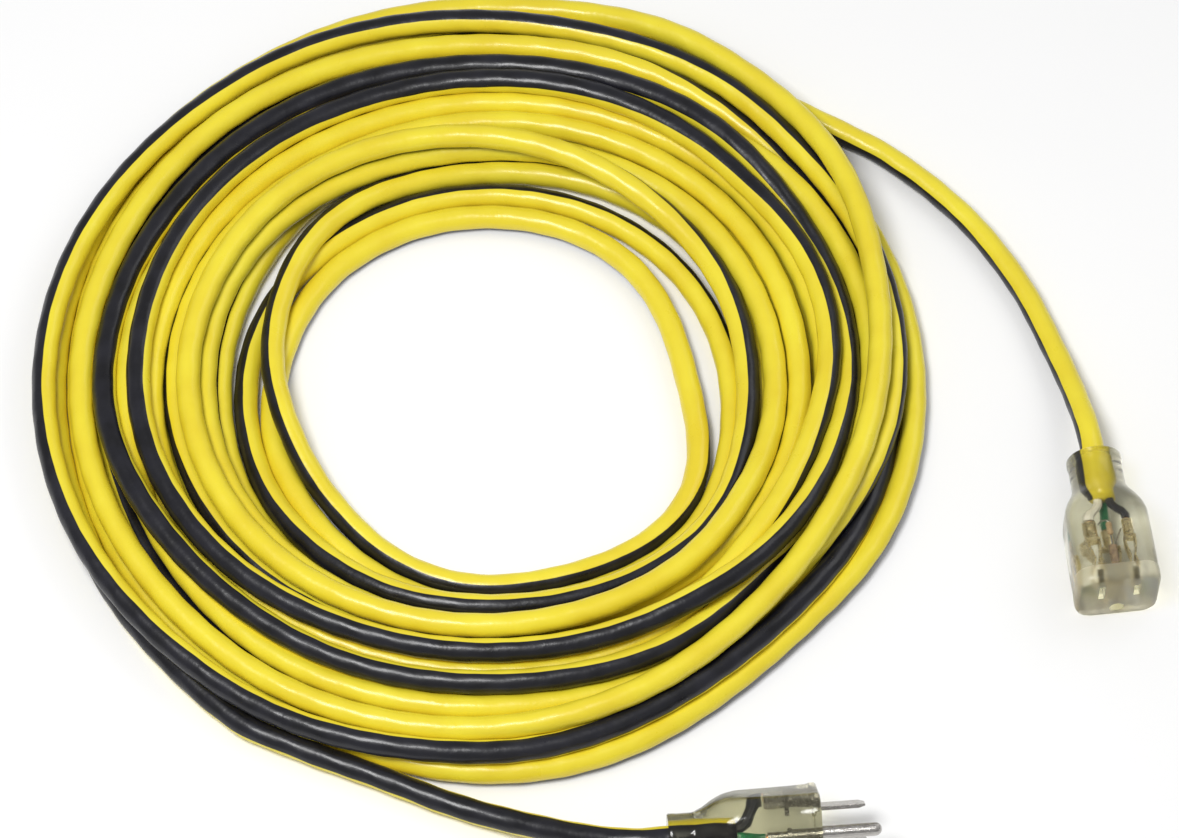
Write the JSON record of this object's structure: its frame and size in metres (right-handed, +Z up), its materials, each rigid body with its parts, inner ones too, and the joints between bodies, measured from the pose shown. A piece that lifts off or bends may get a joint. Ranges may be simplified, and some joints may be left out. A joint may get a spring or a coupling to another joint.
{
  "type": "extension cord",
  "caption": "Loosely coiled heavy outdoor extension cord with a striped jacket, a clear three-pin plug and a clear lighted connector.",
  "frame": {"origin": "middle of the whole object's outline in plan, on the plane that it lies on", "axes": "+Z up; +X across the coil towards the connector; +Y away from the side where the plug lies"},
  "size_m": [0.4086, 0.3721, 0.0344],
  "materials": {
    "jacket": "glossy yellow vinyl with one broad black stripe along it",
    "clear_vinyl": "clear moulded vinyl with a faint smoke-olive tint",
    "black_insulation": "satin",
    "white_insulation": "satin",
    "green_insulation": "satin",
    "copper": "bare stranded copper",
    "contact_brass": "stamped and plated",
    "nickel": "nickel plated, lightly brushed",
    "lamp_glass": "clear",
    "resistor": "matt"
  },
  "bodies": {
    "cord": {"cord_coil": "jacket", "cord_lead_connector": "jacket", "cord_lead_plug": "jacket", "connector_jacket_end": "jacket", "plug_jacket_end": "jacket", "connector_body": "clear_vinyl", "connector_face": "clear_vinyl", "plug_body": "clear_vinyl", "plug_bridge": "clear_vinyl", "connector_hot_wire": "black_insulation", "connector_neutral_wire": "white_insulation", "connector_ground_wire": "green_insulation", "plug_hot_wire": "black_insulation", "plug_neutral_wire": "white_insulation", "plug_ground_wire": "green_insulation", "connector_hot_strands": "copper", "connector_neutral_strands": "copper", "connector_ground_strands": "copper", "plug_hot_strands": "copper", "plug_neutral_strands": "copper", "plug_ground_strands": "copper", "connector_hot_contact": "contact_brass", "connector_neutral_contact": "contact_brass", "connector_ground_contact": "contact_brass", "hot_blade": "nickel", "neutral_blade": "nickel", "ground_pin": "nickel", "pilot_lamp": "lamp_glass", "lamp_resistor": "resistor", "lamp_link_lead": "nickel", "lamp_hot_lead": "nickel", "lamp_neutral_lead": "nickel"},
    "hot_leaf_right": {"hot_leaf_right": "contact_brass"},
    "hot_leaf_left": {"hot_leaf_left": "contact_brass"},
    "neutral_leaf_right": {"neutral_leaf_right": "contact_brass"},
    "neutral_leaf_left": {"neutral_leaf_left": "contact_brass"},
    "ground_leaf_right": {"ground_leaf_right": "contact_brass"},
    "ground_leaf_left": {"ground_leaf_left": "contact_brass"}
  },
  "joints": [
    {"name": "hot_contact_opens", "type": "hinge", "parent": "cord", "child": "hot_leaf_right", "pos_m": [0.19563, -0.05563, 0.018], "axis": [0, 0, 1], "range_deg": [0, 3], "stiffness_Nm_per_rad": 0.3},
    {"name": "hot_leaf_left_flex", "type": "hinge", "parent": "cord", "child": "hot_leaf_left", "pos_m": [0.19206, -0.05604, 0.018], "axis": [0, 0, 1], "range_deg": [-3, 0], "stiffness_Nm_per_rad": 0.3},
    {"name": "neutral_contact_opens", "type": "hinge", "parent": "cord", "child": "neutral_leaf_right", "pos_m": [0.18302, -0.05707, 0.018], "axis": [0, 0, 1], "range_deg": [0, 3], "stiffness_Nm_per_rad": 0.3},
    {"name": "neutral_leaf_left_flex", "type": "hinge", "parent": "cord", "child": "neutral_leaf_left", "pos_m": [0.17944, -0.05748, 0.018], "axis": [0, 0, 1], "range_deg": [-3, 0], "stiffness_Nm_per_rad": 0.3},
    {"name": "ground_contact_opens", "type": "hinge", "parent": "cord", "child": "ground_leaf_right", "pos_m": [0.19091, -0.05617, 0.0061], "axis": [0, 0, 1], "range_deg": [0, 3], "stiffness_Nm_per_rad": 0.3},
    {"name": "ground_leaf_left_flex", "type": "hinge", "parent": "cord", "child": "ground_leaf_left", "pos_m": [0.18416, -0.05694, 0.0061], "axis": [0, 0, 1], "range_deg": [-3, 0], "stiffness_Nm_per_rad": 0.3}
  ],
  "couplings": [
    {"joint": "hot_leaf_left_flex", "follows": "hot_contact_opens", "ratio": -1},
    {"joint": "neutral_leaf_left_flex", "follows": "neutral_contact_opens", "ratio": -1},
    {"joint": "ground_leaf_left_flex", "follows": "ground_contact_opens", "ratio": -1}
  ]
}
